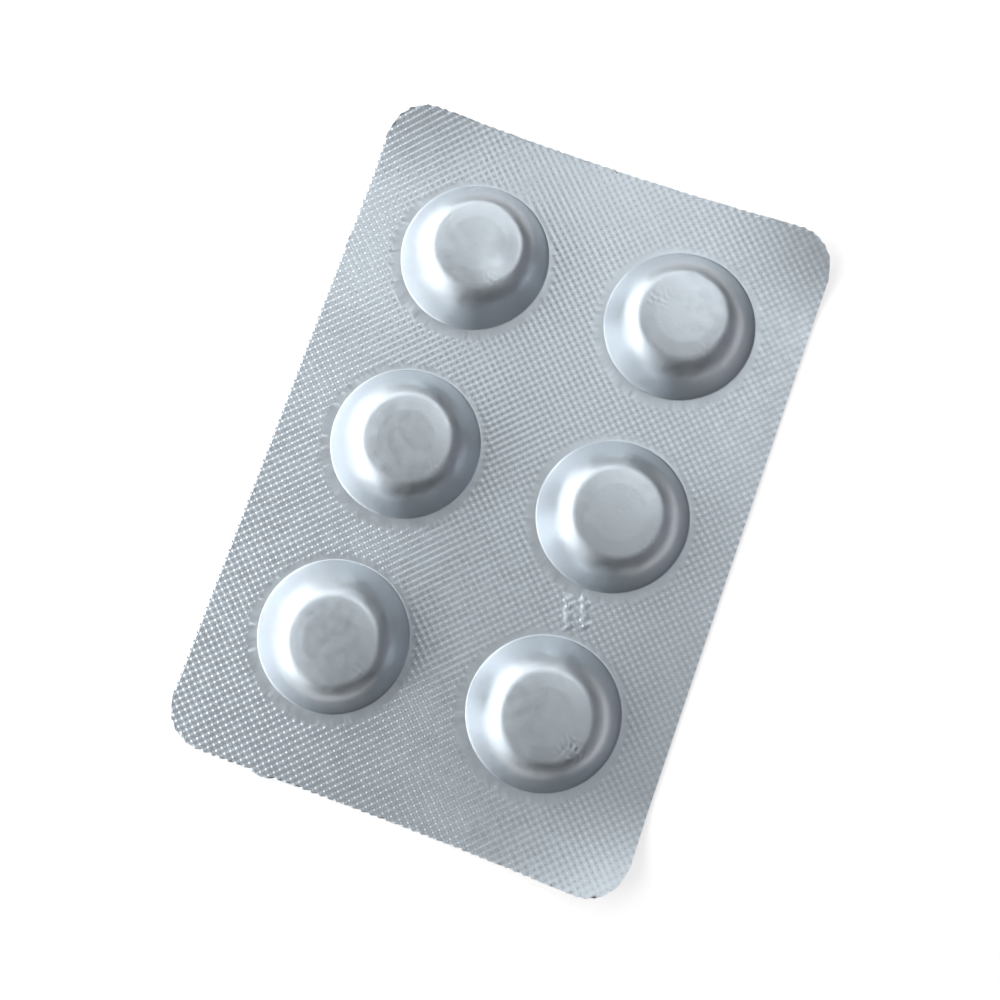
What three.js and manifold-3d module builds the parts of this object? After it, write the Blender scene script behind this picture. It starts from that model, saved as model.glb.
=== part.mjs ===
// A cold-formed aluminium foil blister pack: six round pockets in a thin card, lying on its back.
// Millimetres: +X runs across the card, +Y up the card, +Z out of the pockets.
// The origin is on the flat back, in the middle of the card.

import * as THREE from "three";
import * as BufferGeometryUtils from "three/addons/utils/BufferGeometryUtils.js";
import Module from "manifold-3d";

// The card, with its thickness taken over the sealed pattern.
const cardLength = 89.7;
const cardWidth = 61.6;
const cardThickness = 0.3;
const cornerRadius = 5.8;

// How high each corner of the card has curled up, measured where its straight edges would meet.
const liftTopLeft = 2.6;
const liftTopRight = 2.2;
const liftBottomLeft = 0.4;
const liftBottomRight = 3.8;
// The curl starts this far outside the centre line of the outer row of pockets.
const curlSetback = 5;

// The grid of pockets, which the cutting die leaves a little off the middle of the card.
const pocketColumns = 2;
const pocketRows = 3;
const pitchAcross = 28.45;
const pitchUp = 26.5;
const gridShiftAcross = 0.3;
const gridShiftUp = 0.9;

// One pocket: its radius is where the wall, run straight down, would meet the card.
const pocketRadius = 9.78;
const pocketHeight = 5.2;
const wallLean = THREE.MathUtils.degToRad(30);
const creaseRadius = 0.3;
const shoulderRadius = 5.9;
// The slope of the shoulder where it meets the edge of the plateau.
const shoulderSlope = THREE.MathUtils.degToRad(30);
const edgeRadius = 0.8;
const plateauCrown = 0.25;
// The foot of a pocket runs this far into the card, so that both are one body.
const creaseSink = 0.03;

// How finely the curved surfaces are divided.
const pocketSides = 40;
const creaseSteps = 3;
const shoulderSteps = 3;
const edgeSteps = 2;
const crownSteps = 3;
const cornerSteps = 6;
const lengthSteps = 16;
const widthSteps = 20;

const foilColor = 0xb4b8c0;
const foilRoughness = 0.36;
const foilMetalness = 1;

const halfLength = cardLength / 2;
const halfWidth = cardWidth / 2;
const outerRowReach = ((pocketRows - 1) / 2) * pitchUp;

function cornerLift(x, y) {
  if (y > 0) {
    return x < 0 ? liftTopLeft : liftTopRight;
  }
  return x < 0 ? liftBottomLeft : liftBottomRight;
}

// The height of the card's back above the surface it lies on: flat, with corners that curl up.
function curlHeight(x, y) {
  const flatReach = outerRowReach + Math.sign(y) * gridShiftUp + curlSetback;
  const along = Math.max(0, Math.abs(y) - flatReach) / (halfLength - flatReach);
  const across = Math.abs(x) / halfWidth;
  return cornerLift(x, y) * along * along * across * across;
}

// The card's outline as rows from the bottom edge to the top edge, each with its own half width.
function cardRows() {
  const straightReach = halfLength - cornerRadius;
  const corner = [];
  for (let i = 0; i <= cornerSteps; i++) {
    const angle = ((Math.PI / 2) * i) / cornerSteps;
    corner.push({
      y: straightReach + cornerRadius * Math.sin(angle),
      reach: halfWidth - cornerRadius * (1 - Math.cos(angle)),
    });
  }
  const rows = corner.map((row) => ({ y: -row.y, reach: row.reach })).reverse();
  for (let i = 1; i < lengthSteps; i++) {
    rows.push({ y: straightReach * ((2 * i) / lengthSteps - 1), reach: halfWidth });
  }
  return rows.concat(corner);
}

// One row's section, counter-clockwise seen from the top edge: along the front, then the back.
function sectionPoints(row) {
  const front = [];
  const back = [];
  for (let i = 0; i <= widthSteps; i++) {
    const x = row.reach * ((2 * i) / widthSteps - 1);
    const height = curlHeight(x, row.y);
    front.push([x, row.y, height + cardThickness]);
    back.unshift([x, row.y, height]);
  }
  return front.concat(back);
}

// The card is lofted through the sections of its rows and closed at its two cut ends.
function cardGeometry() {
  const sections = cardRows().map(sectionPoints);
  const loop = sections[0].length;
  const last = sections.length - 1;
  const index = [];
  const quad = (a, b, c, d) => index.push(a, b, c, a, c, d);
  for (let row = 0; row < last; row++) {
    for (let i = 0; i < loop; i++) {
      const next = (i + 1) % loop;
      const above = (row + 1) * loop;
      quad(row * loop + i, row * loop + next, above + next, above + i);
    }
  }
  for (let i = 0; i < widthSteps; i++) {
    const under = loop - 1 - i;
    quad(i + 1, i, under, under - 1);
    quad(last * loop + i, last * loop + i + 1, last * loop + under - 1, last * loop + under);
  }
  const geometry = new THREE.BufferGeometry();
  geometry.setAttribute("position", new THREE.Float32BufferAttribute(sections.flat(2), 3));
  geometry.setIndex(index);
  return geometry;
}

// Points on an arc about (centreR, centreZ), from one angle to another.
function arc(centreR, centreZ, radius, from, to, steps) {
  const points = [];
  for (let i = 0; i <= steps; i++) {
    const angle = from + ((to - from) * i) / steps;
    points.push(
      new THREE.Vector2(centreR + radius * Math.cos(angle), centreZ + radius * Math.sin(angle)),
    );
  }
  return points;
}

// Where an arc of this radius, tangent to the leaning wall, has its centre at this height.
function centreBesideWall(radius, side, height) {
  const alongWall = (height - side * radius * Math.sin(wallLean)) / Math.cos(wallLean);
  return pocketRadius - alongWall * Math.sin(wallLean) + side * radius * Math.cos(wallLean);
}

// A pocket's profile as the foil is drawn: a tight crease at the foot, the leaning wall, a broad
// shoulder, the crisp edge that the tablet presses into the foil, and the domed plateau.
function pocketProfile() {
  const creaseCentre = centreBesideWall(creaseRadius, 1, creaseRadius);
  const edgeHeight = pocketHeight - edgeRadius;
  const inward = shoulderRadius - edgeRadius;
  const shoulderHeight = edgeHeight - inward * Math.cos(shoulderSlope);
  const shoulderCentre = centreBesideWall(shoulderRadius, -1, shoulderHeight);
  const edgeCentre = shoulderCentre + inward * Math.sin(shoulderSlope);
  const domeSlope = (2 * plateauCrown) / edgeCentre;
  const crease = arc(
    creaseCentre, creaseRadius, creaseRadius, -Math.PI / 2, -Math.PI + wallLean, creaseSteps,
  );
  const shoulder = arc(
    shoulderCentre, shoulderHeight, shoulderRadius, wallLean, Math.PI / 2 - shoulderSlope,
    shoulderSteps,
  );
  const edge = arc(
    edgeCentre, edgeHeight, edgeRadius, Math.PI / 2 - shoulderSlope, Math.PI / 2 - domeSlope,
    edgeSteps,
  );
  const rim = edge[edge.length - 1];
  const dome = [];
  for (let i = 1; i <= crownSteps; i++) {
    const share = 1 - i / crownSteps;
    const rise = plateauCrown * (1 - share * share);
    dome.push(new THREE.Vector2(rim.x * share, rim.y + rise));
  }
  const foot = -cardThickness / 2;
  const start = [new THREE.Vector2(0, foot), new THREE.Vector2(creaseCentre, foot)];
  return [...start, ...crease, ...shoulder, ...edge.slice(1), ...dome];
}

function pocketGeometry() {
  const geometry = new THREE.LatheGeometry(pocketProfile(), pocketSides);
  geometry.rotateX(Math.PI / 2);
  geometry.translate(0, 0, cardThickness - creaseSink);
  return geometry;
}

const wasm = await Module();
wasm.setup();

// A closed geometry as a solid: shared vertices merged, collapsed triangles on the axis dropped.
function solidOf(geometry) {
  const bare = geometry.clone();
  bare.deleteAttribute("normal");
  bare.deleteAttribute("uv");
  const merged = BufferGeometryUtils.mergeVertices(bare, 1e-5);
  const triVerts = [];
  for (let i = 0; i < merged.index.count; i += 3) {
    const [a, b, c] = [0, 1, 2].map((k) => merged.index.getX(i + k));
    if (a !== b && b !== c && c !== a) {
      triVerts.push(a, b, c);
    }
  }
  return new wasm.Manifold(
    new wasm.Mesh({
      numProp: 3,
      vertProperties: new Float32Array(merged.attributes.position.array),
      triVerts: new Uint32Array(triVerts),
    }),
  );
}

function geometryOf(solid) {
  const { vertProperties, triVerts } = solid.getMesh();
  const geometry = new THREE.BufferGeometry();
  geometry.setAttribute("position", new THREE.BufferAttribute(vertProperties, 3));
  geometry.setIndex(new THREE.BufferAttribute(triVerts, 1));
  geometry.computeVertexNormals();
  return geometry;
}

function blisterPack() {
  let pack = solidOf(cardGeometry());
  const pocket = solidOf(pocketGeometry());
  for (let column = 0; column < pocketColumns; column++) {
    for (let row = 0; row < pocketRows; row++) {
      const x = gridShiftAcross + (column - (pocketColumns - 1) / 2) * pitchAcross;
      const y = gridShiftUp + (row - (pocketRows - 1) / 2) * pitchUp;
      pack = pack.add(pocket.translate(x, y, 0));
    }
  }
  const foil = new THREE.MeshStandardMaterial({
    color: foilColor,
    roughness: foilRoughness,
    metalness: foilMetalness,
  });
  const mesh = new THREE.Mesh(geometryOf(pack), foil);
  mesh.name = "blister_pack";
  return mesh;
}

const group = new THREE.Group();
group.add(blisterPack());

export default group;
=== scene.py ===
"""A cold-formed foil blister pack of six round pockets, lying on its back on a white floor."""

import math

import bpy
import numpy as np
from mathutils import Matrix, Vector

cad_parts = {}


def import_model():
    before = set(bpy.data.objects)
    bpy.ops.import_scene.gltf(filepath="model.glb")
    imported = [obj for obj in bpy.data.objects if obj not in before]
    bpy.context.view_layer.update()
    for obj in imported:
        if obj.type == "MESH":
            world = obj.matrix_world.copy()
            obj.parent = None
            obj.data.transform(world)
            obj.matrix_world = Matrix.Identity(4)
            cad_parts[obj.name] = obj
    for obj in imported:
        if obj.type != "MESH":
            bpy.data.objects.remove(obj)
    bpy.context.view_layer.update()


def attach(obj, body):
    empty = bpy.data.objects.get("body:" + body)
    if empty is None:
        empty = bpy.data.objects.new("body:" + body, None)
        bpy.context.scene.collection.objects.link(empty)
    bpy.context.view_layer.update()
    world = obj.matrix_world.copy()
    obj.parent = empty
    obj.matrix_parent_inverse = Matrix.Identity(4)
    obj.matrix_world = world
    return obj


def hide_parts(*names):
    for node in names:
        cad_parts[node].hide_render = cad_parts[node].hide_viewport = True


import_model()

MM = 0.001

# The card, in millimetres, as the CAD part has it.
CARD_LENGTH = 89.7
CARD_WIDTH = 61.6
CARD_THICKNESS = 0.3
CORNER_RADIUS = 5.8
LIFT_TOP_LEFT = 2.6
LIFT_TOP_RIGHT = 2.2
LIFT_BOTTOM_LEFT = 0.4
LIFT_BOTTOM_RIGHT = 3.8
CURL_SETBACK = 5.0

# The pockets, in millimetres.
PITCH_ACROSS = 28.45
PITCH_UP = 26.5
GRID_SHIFT = (0.3, 0.9)
POCKET_RADIUS = 9.78
POCKET_HEIGHT = 5.2
WALL_LEAN = math.radians(30)
CREASE_RADIUS = 0.3
SHOULDER_RADIUS = 5.9
SHOULDER_SLOPE = math.radians(30)
# The plateau's edge is rounder here than in the CAD part.
EDGE_RADIUS = 2.3
PLATEAU_CROWN = 0.25
# How far each plateau is drawn off its pocket's middle, from the bottom left to the top right.
PLATEAU_SHIFTS = ((0.9, -0.2), (0.45, 0.05), (0.75, 0.15), (0.4, 0.12), (0.5, 0.3), (-0.05, 0.1))

# The sealed pattern: a square lattice at 45 degrees to the edges, clear of the pockets.
KNURL_PITCH = 0.8
KNURL_RELIEF = 0.18
# How much the ridges' flanks bulge, which leaves broad pads with narrow gaps.
KNURL_FULLNESS = 0.2
# The seal is pressed this much deeper at the left edge, and shallower at the right one.
KNURL_SLANT = 0.5
KNURL_FADE = 0.35
SEAL_HOLE_RADIUS = 10.75
SEAL_HOLE_SHIFT = (-0.2, -0.42)
BACK_RELIEF = 0.03
# Where one family of ridges is pressed deeper than the other: x, y, spread and by how much.
RIDGE_PATCHES = (
    (-28, 25, 10, 0.8), (-8, 41, 10, 0.9), (-9, 19, 4, 0.5), (6, -40, 9, 1.2), (-27, -27, 5, 0.3),
    (-26, 6, 6, 0.5), (-1, 5, 5, -0.9), (1, -17, 5, 0.5), (-1, -30, 4, 1.0), (20, 0, 6, -0.5),
    (-13, -13, 5, 0.6),
)
# The share of those amounts that the ridges take.
RIDGE_LEAN = 0.6

# The cut edges: the knurl leaves the two short ones ragged, and one has a small torn nib.
RAGGED_DEPTH = 0.14
# How fast the teeth drift out of step with the knurl, in radians over a millimetre.
RAGGED_DRIFT = 0.9
NIB = (-16.3, 2.4, 0.4)

# The card's slow waves, and the dents, scuffs and crinkles of one real pack. A dent has x, y,
# width, length and depth, and a patch of crinkles has x, y, spread and depth.
CARD_WAVE = 0.05
POCKET_WAVE = 0.045
DENTS = (
    (-17.6, 35.6, 0.9, 0.9, -0.5), (-9.9, 27.4, 1.9, 2.9, -0.38), (13.1, 17.6, 1.0, 1.0, -0.2),
    (-6.1, 9.5, 1.6, 2.4, -0.08), (8.6, -4.2, 2.2, 1.6, 0.07), (-17.5, -19.0, 2.6, 1.8, -0.1),
)
CRINKLES = (
    (10.4, 28.6, 1.3, 0.03), (19.1, -28.2, 1.3, 0.1), (-11.7, -26.0, 3.6, 0.004),
    (-18.4, 30.4, 1.4, 0.02), (19.6, -1.7, 0.9, 0.045), (-8.5, -1.6, 0.8, 0.04),
    (-8.3, -28.3, 0.8, 0.04), (-10.2, 23.6, 0.9, 0.03), (18.4, 24.0, 0.8, 0.03),
)
# Two short wavy lines pressed into the seal: the middle, the gap, the length, the height.
SQUIGGLE = (14.2, -12.3, 2.1, 4.6, 0.24)
# How far the lines sway, in radians over a millimetre how fast, and how wide and soft they are.
SQUIGGLE_SWAY = 0.2
SQUIGGLE_TURN = 5
SQUIGGLE_WIDTH = 0.32
SQUIGGLE_FADE = 0.5
# The plateau's faint ring: its radius, width and height.
PLATEAU_RING = (3.6, 0.4, 0.014)

# The two foils, as heights over the surface the card lies on.
LID_BACK = 0.02
LID_FRONT = 0.05
FORMED_BACK = 0.06
FORMED_FRONT = CARD_THICKNESS - KNURL_RELIEF / 2

# How finely the pieces are divided.
ROOT_TWO = math.sqrt(2)
KNURL_SPACING = KNURL_PITCH * ROOT_TWO / 4
COARSE_SPACING = 2.0
POCKET_SIDES = 144
CREASE_STEPS = 4
WALL_STEPS = 8
SHOULDER_STEPS = 9
EDGE_STEPS = 6
DOME_STEPS = 21
# How near the edge a point snaps onto it, and the step that finds the edge's direction, both as
# shares of the spacing, the number of tries, and the share of a square that is only a sliver.
SNAP_REACH = 0.3
SLOPE_STEP = 0.01
SNAP_TRIES = 3
SLIVER_SHARE = 0.02
# Where two faces meet at more than this, the edge stays sharp.
SHARP_ANGLE = math.radians(80)

# How steeply the waves and dents set in with height up a pocket, and how calm its plateau is.
WAVE_RISE = 2
DENT_RISE = 5
CALM_RISE = 6
CALM_SHARE = 0.82
# How flat the plateau's dome is in its middle.
DOME_POWER = 3

# The camera, fitted to the photograph's view: places in millimetres, heading in degrees.
CAMERA_AT = (11.4, -16.6, 147.56)
CAMERA_AIM = (0.165, -1.913, 0.0)
CAMERA_HEADING = -19.817
CAMERA_LENS = 41.4
SENSOR_WIDTH = 36
CLIP_START = 0.005

# Each foil: its darker and lighter colour, its least and most roughness, its grain in millimetres.
FORMED_LOOK = ((0.655, 0.69, 0.725), (0.705, 0.745, 0.785), 0.4, 0.49, 0.012)
LIDDING_LOOK = ((0.7, 0.71, 0.73), (0.76, 0.77, 0.79), 0.24, 0.34, 0.006)
FOIL_METALLIC = 0.9
# The foils' noises, from the soft mottling to the grain: their scale, detail and roughness.
MOTTLE = (90, 3, 0.5)
WEAR = (700, 4, 0.5)
PEEL = (2600, 3, 0.6)
# The part of a noise's range that is put to use.
NOISE_RANGE = (0.3, 0.7)

# The floor: its size in metres, its colour and roughness, and its own share of its white.
FLOOR_SIZE = 6.0
FLOOR_COLOUR = (0.88, 0.84, 0.82)
FLOOR_ROUGHNESS = 0.9
FLOOR_GLOW = 0.5

# The room's colour, and the lamps: name, azimuth and elevation in degrees, distance, width and
# height in metres, power in watts, colour.
ROOM_COLOUR = (0.01, 0.0105, 0.011)
DAYLIGHT = (0.93, 0.975, 1.0)
ROOM_SHADE = (0.8, 0.76, 1.0)
LAMPS = (
    ("window_left", 172, 14, 0.4, 0.8, 0.25, 0.75, DAYLIGHT),
    ("window_top_left", 140, 20, 0.5, 0.4, 0.25, 0.7, DAYLIGHT),
    ("window_bottom_left", 210, 20, 0.5, 0.4, 0.25, 0.45, DAYLIGHT),
    ("high_left", 180, 38, 0.6, 0.4, 0.3, 1.1, DAYLIGHT),
    ("high_top_left", 130, 38, 0.6, 0.4, 0.3, 0.4, DAYLIGHT),
    ("high_top", 90, 38, 0.6, 0.4, 0.3, 0.62, DAYLIGHT),
    ("high_right", 45, 58, 0.7, 0.35, 0.35, 0.3, DAYLIGHT),
    ("high_bottom_right", 315, 58, 0.7, 0.35, 0.35, 0.2, DAYLIGHT),
    ("high_bottom_left", 225, 58, 0.7, 0.35, 0.35, 0.12, DAYLIGHT),
    ("high_top_right", 57, 64, 0.7, 0.35, 0.35, 0.45, DAYLIGHT),
    ("ceiling_top", 40, 76, 0.8, 0.35, 0.35, 0.06, DAYLIGHT),
    ("ceiling_bottom", 310, 76, 0.8, 0.35, 0.35, 0.13, DAYLIGHT),
    ("room_right", 345, 25, 0.6, 0.6, 0.3, 0.12, ROOM_SHADE),
)


def wave_set(seed, count, shortest, longest):
    """Waves of random length, heading and phase: the longer, the higher."""
    random = np.random.default_rng(seed)
    lengths = random.uniform(shortest, longest, count)
    headings = random.uniform(0, np.pi, count)
    phases = random.uniform(0, 2 * np.pi, count)
    heights = lengths / np.sqrt(np.sum(lengths**2) / 2) / 2
    return np.stack([np.cos(headings) / lengths, np.sin(headings) / lengths, phases, heights], 1)


CARD_WAVES = wave_set(3, 9, 16, 34)
POCKET_WAVES = wave_set(5, 26, 1.8, 6.5)
CRINKLE_WAVES = wave_set(11, 22, 0.5, 0.85)


def waves(x, y, which):
    """The height of a set of waves, mostly between -1 and 1."""
    height = np.zeros(np.shape(x))
    for over_x, over_y, phase, most in which:
        height += most * np.sin(2 * np.pi * (over_x * x + over_y * y) + phase)
    return height


def pocket_centres():
    """The middle of each pocket, from the bottom left to the top right."""
    shift_x, shift_y = GRID_SHIFT
    return [
        (shift_x + column * PITCH_ACROSS, shift_y + row * PITCH_UP)
        for row in (-1, 0, 1)
        for column in (-0.5, 0.5)
    ]


def curl_height(x, y):
    """How far the card has curled up: flat in the middle, lifted towards its corners."""
    lift_top = np.where(x < 0, LIFT_TOP_LEFT, LIFT_TOP_RIGHT)
    lift_bottom = np.where(x < 0, LIFT_BOTTOM_LEFT, LIFT_BOTTOM_RIGHT)
    lift = np.where(y > 0, lift_top, lift_bottom)
    flat_reach = PITCH_UP + np.sign(y) * GRID_SHIFT[1] + CURL_SETBACK
    along = np.maximum(0, np.abs(y) - flat_reach) / (CARD_LENGTH / 2 - flat_reach)
    across = np.abs(x) / (CARD_WIDTH / 2)
    wave = CARD_WAVE * np.maximum(0, 1 + waves(x, y, CARD_WAVES))
    return lift * along**2 * across**2 + wave


def inside_outline(x, y):
    """How far a point is inside the card's rounded outline."""
    past_x = np.abs(x) - (CARD_WIDTH / 2 - CORNER_RADIUS)
    past_y = np.abs(y) - (CARD_LENGTH / 2 - CORNER_RADIUS)
    corner = np.hypot(np.maximum(past_x, 0), np.maximum(past_y, 0))
    straight = np.minimum(np.maximum(past_x, past_y), 0)
    short_edge = smooth_step(np.abs(y) - CARD_LENGTH / 2 + CORNER_RADIUS)
    teeth = 1 + np.cos(2 * np.pi * x / (KNURL_PITCH * ROOT_TWO) + np.sin(x * RAGGED_DRIFT))
    nib_x, nib_width, nib_reach = NIB
    nib = nib_reach * np.exp(-(((x - nib_x) / nib_width * 2) ** 4)) * (y < 0)
    return CORNER_RADIUS - corner - straight - short_edge * (teeth * RAGGED_DEPTH / 2 - nib)


def outside_holes(x, y, holes):
    """How far a point is from the nearest of the holes left in the sealed pattern."""
    clear = np.full(np.shape(x), CARD_LENGTH)
    for centre_x, centre_y, radius in holes:
        clear = np.minimum(clear, np.hypot(x - centre_x, y - centre_y) - radius)
    return clear


def seal_holes():
    shift_x, shift_y = SEAL_HOLE_SHIFT
    return [(x + shift_x, y + shift_y, SEAL_HOLE_RADIUS) for x, y in pocket_centres()]


def ridges(along):
    """One family of the seal's ridges."""
    turn = 2 * np.pi * along / ROOT_TWO / KNURL_PITCH
    return np.cos(turn) + KNURL_FULLNESS * np.sin(turn) ** 2


def knurl(x, y):
    """The relief of the seal, about -1 to 1: two crossing families of ridges on a square lattice."""
    falling, rising = ridges(y + x), ridges(y - x)
    lean = np.zeros(np.shape(x))
    for patch_x, patch_y, spread, amount in RIDGE_PATCHES:
        lean += amount * np.exp(-((x - patch_x) ** 2 + (y - patch_y) ** 2) / spread**2)
    lean = np.clip(lean * RIDGE_LEAN, -1, 1)
    return (falling * (1 + lean) + rising * (1 - lean)) / 2


def squiggle(x, y):
    """The height of the two wavy lines, which run up the picture."""
    middle_x, middle_y, gap, length, most = SQUIGGLE
    heading = math.radians(-CAMERA_HEADING)
    along = (y - middle_y) * math.cos(heading) - (x - middle_x) * math.sin(heading)
    across = (x - middle_x) * math.cos(heading) + (y - middle_y) * math.sin(heading)
    beside = np.abs(across + SQUIGGLE_SWAY * np.sin(along * SQUIGGLE_TURN)) - gap / 2
    ends = smooth_step((length / 2 - np.abs(along)) / SQUIGGLE_FADE)
    return most * ends * np.exp(-((beside / SQUIGGLE_WIDTH) ** 2))


def dented(x, y):
    """The dents, the crinkles and the wavy lines, as heights added to a pocket."""
    height = squiggle(x, y)
    for dent_x, dent_y, width, length, depth in DENTS:
        height += depth * np.exp(-(((x - dent_x) / width) ** 2) - ((y - dent_y) / length) ** 2)
    fine = waves(x, y, CRINKLE_WAVES)
    for patch_x, patch_y, spread, depth in CRINKLES:
        near = np.exp(-((x - patch_x) ** 2 + (y - patch_y) ** 2) / spread**2)
        height += depth * near * fine
    return height


def smooth_step(value):
    share = np.clip(value, 0, 1)
    return share * share * (3 - 2 * share)


def trimmed_lattice(spacing, holes):
    """Points and triangles of a square grid, cut to the card and round the holes."""

    def clearance(x, y):
        return np.minimum(inside_outline(x, y), outside_holes(x, y, holes))

    def onto_edge(x, y):
        step = spacing * SLOPE_STEP
        for _ in range(SNAP_TRIES):
            slope_x = (clearance(x + step, y) - clearance(x - step, y)) / (2 * step)
            slope_y = (clearance(x, y + step) - clearance(x, y - step)) / (2 * step)
            away = clearance(x, y)
            x, y = x - away * slope_x, y - away * slope_y
        return x, y

    count = math.ceil(CARD_LENGTH / 2 / spacing) + 2
    ticks = np.arange(-count, count + 1) * spacing
    x, y = (grid.ravel() for grid in np.meshgrid(ticks, ticks, indexing="ij"))
    clear = clearance(x, y)
    near = np.abs(clear) < spacing * SNAP_REACH
    x[near], y[near] = onto_edge(x[near], y[near])
    clear[near] = 0.0

    side = len(ticks)
    column, row = (grid.ravel() for grid in np.indices((side - 1, side - 1)))
    corner = column * side + row
    square = np.stack([corner, corner + side, corner + side + 1, corner + 1], 1)
    even = (column + row) % 2 == 0
    halves = [
        square[even][:, [0, 1, 2]], square[even][:, [0, 2, 3]],
        square[~even][:, [0, 1, 3]], square[~even][:, [1, 2, 3]],
    ]
    triangles = np.concatenate(halves)
    inside = (clear[triangles] >= 0).sum(axis=1)
    whole = triangles[inside == 3]
    flat = (clear[whole] == 0).all(axis=1)
    ab = np.stack([x[whole[:, 1]] - x[whole[:, 0]], y[whole[:, 1]] - y[whole[:, 0]]])
    ac = np.stack([x[whole[:, 2]] - x[whole[:, 0]], y[whole[:, 2]] - y[whole[:, 0]]])
    area = ab[0] * ac[1] - ab[1] * ac[0]
    whole = whole[~(flat & (area < spacing**2 * SLIVER_SHARE))]

    added = []
    crossings = {}

    def crossing(i, j):
        if clear[i] == 0:
            return i
        key = (min(i, j), max(i, j))
        if key not in crossings:
            share = clear[i] / (clear[i] - clear[j])
            crossings[key] = len(x) + len(added)
            added.append((x[i] + share * (x[j] - x[i]), y[i] + share * (y[j] - y[i])))
        return crossings[key]

    pieces = []
    for triangle in triangles[(inside == 1) | (inside == 2)]:
        kept = [clear[i] >= 0 for i in triangle]
        odd = kept.index(sum(kept) == 1)
        a, b, c = (int(triangle[(odd + k) % 3]) for k in range(3))
        if kept[odd]:
            pieces.append((a, crossing(a, b), crossing(a, c)))
        else:
            to_b, to_c = crossing(b, a), crossing(c, a)
            pieces.append((b, c, to_c))
            pieces.append((b, to_c, to_b))
    pieces = [t for t in pieces if len(set(t)) == 3]
    edge_x, edge_y = onto_edge(*np.array(added).T)
    points = np.stack([np.append(x, edge_x), np.append(y, edge_y)], 1)
    triangles = np.concatenate([whole, np.array(pieces)])
    used, triangles = np.unique(triangles, return_inverse=True)
    return points[used], triangles.reshape(-1, 3)


def border_loops(triangles):
    """The open edges of a surface as loops of points, each running with the triangles."""
    edges = np.concatenate([triangles[:, [0, 1]], triangles[:, [1, 2]], triangles[:, [2, 0]]])
    size = int(edges.max()) + 1
    forward = edges[:, 0] * size + edges[:, 1]
    backward = edges[:, 1] * size + edges[:, 0]
    following = dict(edges[~np.isin(forward, backward)].tolist())
    loops = []
    while following:
        start, point = following.popitem()
        loop = [start]
        while point != start:
            loop.append(point)
            point = following.pop(point)
        loops.append(loop)
    return loops


def zipped(first, first_turn, second, second_turn):
    """Triangles between two rings, walked side by side: the first runs left of the second."""
    first_order = np.argsort(first_turn)
    second_order = np.argsort(second_turn)
    a = [first[i] for i in first_order]
    b = [second[i] for i in second_order]
    turn_a = np.append(first_turn[first_order], first_turn.min() + 1)
    turn_b = np.append(second_turn[second_order], second_turn.min() + 1)
    i = j = 0
    strip = []
    while i < len(a) or j < len(b):
        if j == len(b) or (i < len(a) and turn_a[i + 1] <= turn_b[j + 1]):
            strip.append((a[i % len(a)], b[j % len(b)], a[(i + 1) % len(a)]))
            i += 1
        else:
            strip.append((a[i % len(a)], b[j % len(b)], b[(j + 1) % len(b)]))
            j += 1
    return np.array(strip)


def turn_about(points, centre):
    """The angle of each point about a centre, from 0 to 1."""
    return (np.arctan2(points[:, 1] - centre[1], points[:, 0] - centre[0]) / (2 * np.pi)) % 1.0


def arc(centre_r, centre_z, radius, start, stop, steps):
    angles = np.linspace(start, stop, steps + 1)
    return np.stack([centre_r + radius * np.cos(angles), centre_z + radius * np.sin(angles)], 1)


def centre_beside_wall(radius, side, height):
    """Where an arc of this radius, tangent to the leaning wall, has its centre."""
    along_wall = (height - side * radius * math.sin(WALL_LEAN)) / math.cos(WALL_LEAN)
    reach = POCKET_RADIUS - along_wall * math.sin(WALL_LEAN)
    return reach + side * radius * math.cos(WALL_LEAN)


def pocket_profile():
    """Radius and height from the crease round the foot to the last ring of the plateau."""
    crease_centre = centre_beside_wall(CREASE_RADIUS, 1, CREASE_RADIUS)
    edge_height = POCKET_HEIGHT - EDGE_RADIUS
    inward = SHOULDER_RADIUS - EDGE_RADIUS
    shoulder_height = edge_height - inward * math.cos(SHOULDER_SLOPE)
    shoulder_centre = centre_beside_wall(SHOULDER_RADIUS, -1, shoulder_height)
    edge_centre = shoulder_centre + inward * math.sin(SHOULDER_SLOPE)
    dome_slope = 2 * PLATEAU_CROWN / edge_centre
    steep = np.pi / 2 - SHOULDER_SLOPE
    crease = arc(
        crease_centre, CREASE_RADIUS, CREASE_RADIUS, -np.pi / 2, -np.pi + WALL_LEAN, CREASE_STEPS
    )
    shoulder = arc(
        shoulder_centre, shoulder_height, SHOULDER_RADIUS, WALL_LEAN, steep, SHOULDER_STEPS
    )
    rim_turn = np.pi / 2 - dome_slope
    edge = arc(edge_centre, edge_height, EDGE_RADIUS, steep, rim_turn, EDGE_STEPS)[1:]
    wall = np.linspace(crease[-1], shoulder[0], WALL_STEPS + 1)[1:-1]
    share = np.linspace(1, 0, DOME_STEPS + 1)[1:-1]
    rim_r, rim_z = edge[-1]
    ring_r, ring_width, ring_height = PLATEAU_RING
    ring = ring_height * np.exp(-(((rim_r * share - ring_r) / ring_width) ** 2))
    rise = PLATEAU_CROWN * (1 - share**DOME_POWER)
    dome = np.stack([rim_r * share, rim_z + rise + ring], 1)
    return np.concatenate([crease, wall, shoulder, edge, dome])


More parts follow.
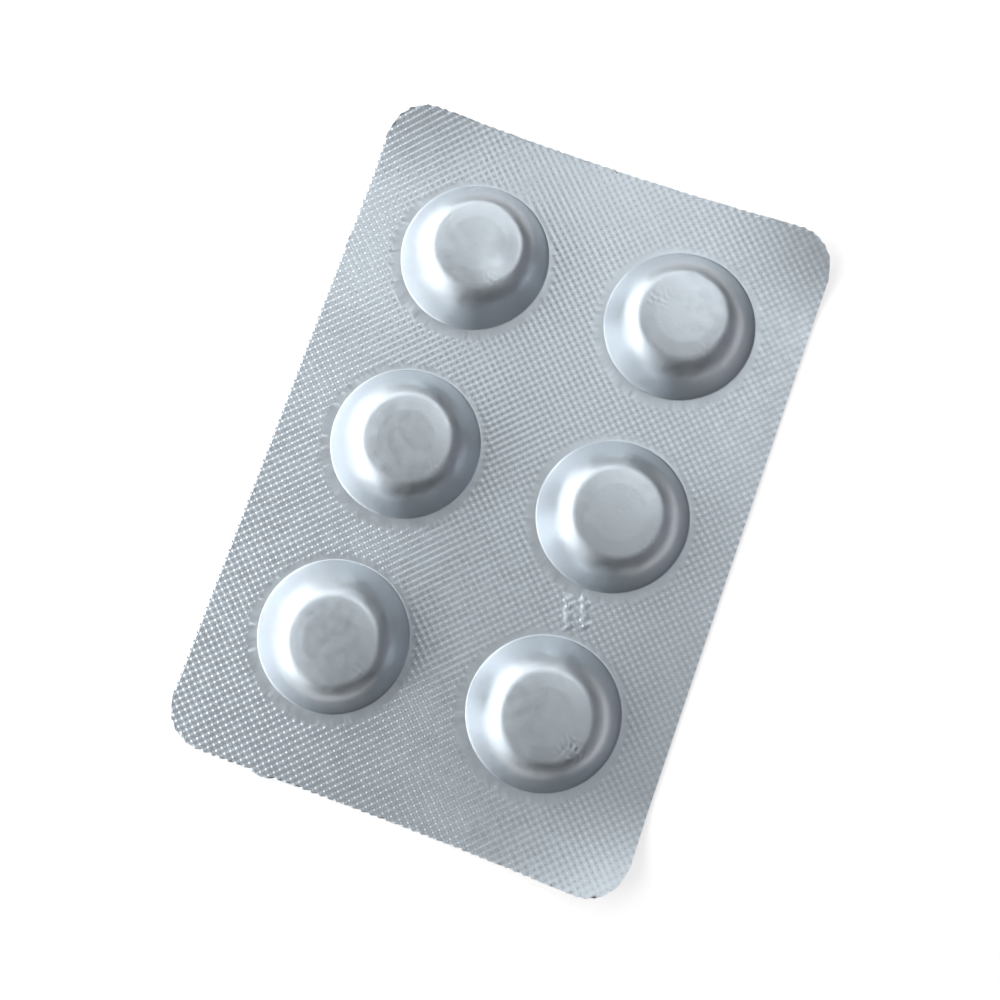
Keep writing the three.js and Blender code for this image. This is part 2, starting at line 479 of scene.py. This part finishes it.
def pocket_patch(centre, shift):
    """One pocket's points (x, y, rise over the card) and triangles, with its crease ring first."""
    profile = pocket_profile()
    turns = 2 * np.pi * np.arange(POCKET_SIDES) / POCKET_SIDES
    rings = len(profile)
    x = centre[0] + profile[:, :1] * np.cos(turns)
    y = centre[1] + profile[:, :1] * np.sin(turns)
    rise = np.repeat(profile[:, 1:], POCKET_SIDES, axis=1)
    points = np.stack([x, y, rise], 2).reshape(-1, 3)
    tip = [centre[0], centre[1], POCKET_HEIGHT + PLATEAU_CROWN]
    points = np.vstack([points, tip])
    share = points[:, 2] / POCKET_HEIGHT
    points[:, 0] += share * shift[0]
    points[:, 1] += share * shift[1]
    x, y = points[:, 0], points[:, 1]
    calm = CALM_SHARE * smooth_step(share * CALM_RISE - (CALM_RISE - 1))
    loose = smooth_step(share * WAVE_RISE) - calm
    points[:, 2] += POCKET_WAVE * loose * waves(x, y, POCKET_WAVES)
    points[:, 2] += smooth_step(share * DENT_RISE) * dented(x, y)
    side = np.arange(POCKET_SIDES)
    following = (side + 1) % POCKET_SIDES
    triangles = []
    for ring in range(rings - 1):
        low, high = ring * POCKET_SIDES, (ring + 1) * POCKET_SIDES
        triangles.append(np.stack([low + side, low + following, high + following], 1))
        triangles.append(np.stack([low + side, high + following, high + side], 1))
    last = (rings - 1) * POCKET_SIDES
    top = np.full(POCKET_SIDES, len(points) - 1)
    triangles.append(np.stack([last + side, last + following, top], 1))
    return points, np.concatenate(triangles)


def formed_front():
    """The front of the formed foil: the knurled field with a pocket in each of its holes."""
    holes = seal_holes()
    flat, triangles = trimmed_lattice(KNURL_SPACING, holes)
    x, y = flat.T
    pressed = smooth_step(outside_holes(x, y, holes) / KNURL_FADE)
    depth = KNURL_RELIEF * (1 - KNURL_SLANT * x / (CARD_WIDTH / 2))
    mark = squiggle(x, y)
    relief = knurl(x, y) * pressed * depth / 2 * (1 - mark / SQUIGGLE[-1]) + mark
    points = [np.stack([x, y, relief], 1)]
    faces = [triangles]
    outer = []
    for loop in border_loops(triangles):
        if np.ptp(flat[loop][:, 0]) > CARD_WIDTH / 2:
            outer = loop
            continue
        middle = flat[loop].mean(axis=0)
        which = int(np.argmin([math.dist(middle, hole[:2]) for hole in holes]))
        centre = pocket_centres()[which]
        start = sum(len(block) for block in points)
        patch, patch_faces = pocket_patch(centre, PLATEAU_SHIFTS[which])
        crease = np.arange(POCKET_SIDES) + start
        faces.append(patch_faces + start)
        faces.append(
            zipped(
                np.array(loop), turn_about(flat[loop], centre),
                crease, turn_about(patch[:POCKET_SIDES], centre),
            )[:, [1, 0, 2]]
        )
        points.append(patch)
    return np.concatenate(points), np.concatenate(faces), outer


def closed_by(front, front_faces, front_loop, back, back_faces, back_loop):
    """Joins a front and a back along their edges into one closed surface facing out."""
    start = len(front)
    edge = zipped(
        np.array(front_loop), turn_about(front[front_loop], (0, 0)),
        np.array(back_loop) + start, turn_about(back[back_loop], (0, 0)),
    )
    faces = np.concatenate([front_faces, back_faces[:, ::-1] + start, edge])
    return np.concatenate([front, back]), faces


def mesh_object(name, points, faces):
    mesh = bpy.data.meshes.new(name)
    mesh.from_pydata((points * MM).tolist(), [], faces.tolist())
    mesh.validate()
    mesh.shade_smooth()
    mesh.set_sharp_from_angle(angle=SHARP_ANGLE)
    thing = bpy.data.objects.new(name, mesh)
    bpy.context.scene.collection.objects.link(thing)
    return thing


def plain_sheet(height):
    """A coarse sheet of the card's outline at one height over the curl."""
    flat, faces = trimmed_lattice(COARSE_SPACING, [])
    x, y = flat.T
    points = np.stack([x, y, curl_height(x, y) + height], 1)
    return points, faces, border_loops(faces)[0]


def formed_foil():
    """The knurled foil with its pockets, closed by a plain back."""
    front, front_faces, front_loop = formed_front()
    front[:, 2] += curl_height(front[:, 0], front[:, 1]) + FORMED_FRONT
    back, back_faces, back_loop = plain_sheet(FORMED_BACK)
    points, faces = closed_by(front, front_faces, front_loop, back, back_faces, back_loop)
    return mesh_object("formed_foil", points, faces)


def lidding_foil():
    """The flat foil underneath, with the seal's relief faintly showing in its back."""
    flat, faces = trimmed_lattice(KNURL_SPACING, [])
    x, y = flat.T
    sealed = smooth_step(outside_holes(x, y, seal_holes()) / KNURL_FADE + 1)
    relief = knurl(x, y) * sealed * BACK_RELIEF / 2
    back = np.stack([x, y, curl_height(x, y) + LID_BACK + relief], 1)
    front, front_faces, front_loop = plain_sheet(LID_FRONT)
    back_loop = border_loops(faces)[0]
    points, all_faces = closed_by(front, front_faces, front_loop, back, faces, back_loop)
    return mesh_object("lidding_foil", points, all_faces)


def principled(name):
    material = bpy.data.materials.new(name)
    material.use_nodes = True
    nodes = material.node_tree.nodes
    return material, nodes, material.node_tree.links, nodes["Principled BSDF"]


def noise_texture(nodes, links, where, scale, detail, roughness):
    texture = nodes.new("ShaderNodeTexNoise")
    texture.inputs["Scale"].default_value = scale
    texture.inputs["Detail"].default_value = detail
    texture.inputs["Roughness"].default_value = roughness
    links.new(where.outputs["Object"], texture.inputs["Vector"])
    return texture


def mapped(nodes, links, source, low, high):
    """The used part of a noise's range, spread from low to high."""
    spread = nodes.new("ShaderNodeMapRange")
    spread.inputs["From Min"].default_value = NOISE_RANGE[0]
    spread.inputs["From Max"].default_value = NOISE_RANGE[1]
    spread.inputs["To Min"].default_value = low
    spread.inputs["To Max"].default_value = high
    links.new(source, spread.inputs["Value"])
    return spread.outputs["Result"]


def foil_material(name, dark, light, rough_low, rough_high, grain):
    """Satin aluminium foil: soft mottling, uneven roughness and a fine orange-peel grain."""
    material, nodes, links, shader = principled(name)
    where = nodes.new("ShaderNodeTexCoord")
    mottle = noise_texture(nodes, links, where, *MOTTLE)
    colour = nodes.new("ShaderNodeMix")
    colour.data_type = "RGBA"
    colour.inputs["A"].default_value = (*dark, 1)
    colour.inputs["B"].default_value = (*light, 1)
    links.new(mapped(nodes, links, mottle.outputs["Fac"], 0, 1), colour.inputs["Factor"])
    links.new(colour.outputs["Result"], shader.inputs["Base Color"])
    wear = noise_texture(nodes, links, where, *WEAR)
    roughness = mapped(nodes, links, wear.outputs["Fac"], rough_low, rough_high)
    links.new(roughness, shader.inputs["Roughness"])
    peel = noise_texture(nodes, links, where, *PEEL)
    bump = nodes.new("ShaderNodeBump")
    bump.inputs["Strength"].default_value = 1
    bump.inputs["Distance"].default_value = grain * MM
    links.new(peel.outputs["Fac"], bump.inputs["Height"])
    links.new(bump.outputs["Normal"], shader.inputs["Normal"])
    shader.inputs["Metallic"].default_value = FOIL_METALLIC
    return material


def floor_material():
    """White to the camera and to glossy rays, with the object's soft shadow kept in it."""
    material, nodes, links, shader = principled("white_floor")
    shader.inputs["Base Color"].default_value = (*FLOOR_COLOUR, 1)
    shader.inputs["Roughness"].default_value = FLOOR_ROUGHNESS
    shader.inputs["Emission Color"].default_value = (1, 1, 1, 1)
    path = nodes.new("ShaderNodeLightPath")
    seen = path.outputs["Is Camera Ray"]
    for ray in ("Is Glossy Ray", "Is Transmission Ray"):
        either = nodes.new("ShaderNodeMath")
        either.operation = "MAXIMUM"
        links.new(seen, either.inputs[0])
        links.new(path.outputs[ray], either.inputs[1])
        seen = either.outputs["Value"]
    glow = nodes.new("ShaderNodeMath")
    glow.operation = "MULTIPLY"
    glow.inputs[1].default_value = FLOOR_GLOW
    links.new(seen, glow.inputs[0])
    links.new(glow.outputs["Value"], shader.inputs["Emission Strength"])
    return material


def floor():
    half = FLOOR_SIZE / 2
    mesh = bpy.data.meshes.new("floor")
    corners = [(-half, -half, 0), (half, -half, 0), (half, half, 0), (-half, half, 0)]
    mesh.from_pydata(corners, [], [(0, 1, 2, 3)])
    mesh.materials.append(floor_material())
    thing = bpy.data.objects.new("floor", mesh)
    bpy.context.scene.collection.objects.link(thing)


def camera_axes():
    """The view's right, up and back as directions in the object's frame."""
    back = (Vector(CAMERA_AT) - Vector(CAMERA_AIM)).normalized()
    heading = math.radians(CAMERA_HEADING)
    right = Vector((math.sin(heading), math.cos(heading), 0)).cross(back).normalized()
    return right, back.cross(right), back


def camera():
    data = bpy.data.cameras.new("camera")
    data.lens = CAMERA_LENS
    data.sensor_width = SENSOR_WIDTH
    data.clip_start = CLIP_START
    thing = bpy.data.objects.new("camera", data)
    axes = Matrix(camera_axes()).transposed()
    thing.matrix_world = Matrix.Translation(Vector(CAMERA_AT) * MM) @ axes.to_4x4()
    bpy.context.scene.collection.objects.link(thing)
    bpy.context.scene.camera = thing


def area_light(name, azimuth, elevation, distance, width, height, power, colour):
    """A soft light that faces the pack; azimuth 0 is the picture's right, 90 its top."""
    right, up, _ = camera_axes()
    side = math.cos(math.radians(azimuth)) * right + math.sin(math.radians(azimuth)) * up
    side.z = 0
    side.normalize()
    rise = math.radians(elevation)
    towards = side * math.cos(rise) + Vector((0, 0, math.sin(rise)))
    data = bpy.data.lights.new(name, "AREA")
    data.shape = "RECTANGLE"
    data.size = width
    data.size_y = height
    data.energy = power
    data.color = colour
    thing = bpy.data.objects.new(name, data)
    thing.location = towards * distance
    thing.rotation_euler = towards.to_track_quat("Z", "Y").to_euler()
    bpy.context.scene.collection.objects.link(thing)


def lights():
    for lamp in LAMPS:
        area_light(*lamp)


def world():
    scene_world = bpy.data.worlds.new("studio")
    scene_world.use_nodes = True
    background = scene_world.node_tree.nodes["Background"]
    background.inputs["Color"].default_value = (*ROOM_COLOUR, 1)
    background.inputs["Strength"].default_value = 1.0
    bpy.context.scene.world = scene_world


foil_front = foil_material("formed_foil", *FORMED_LOOK)
foil_back = foil_material("lidding_foil", *LIDDING_LOOK)

for build, finish in ((formed_foil, foil_front), (lidding_foil, foil_back)):
    piece = build()
    piece.data.materials.append(finish)
    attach(piece, "root")
    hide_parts("blister_pack")

floor()
camera()
lights()
world()
bpy.context.scene.view_settings.view_transform = "Standard"
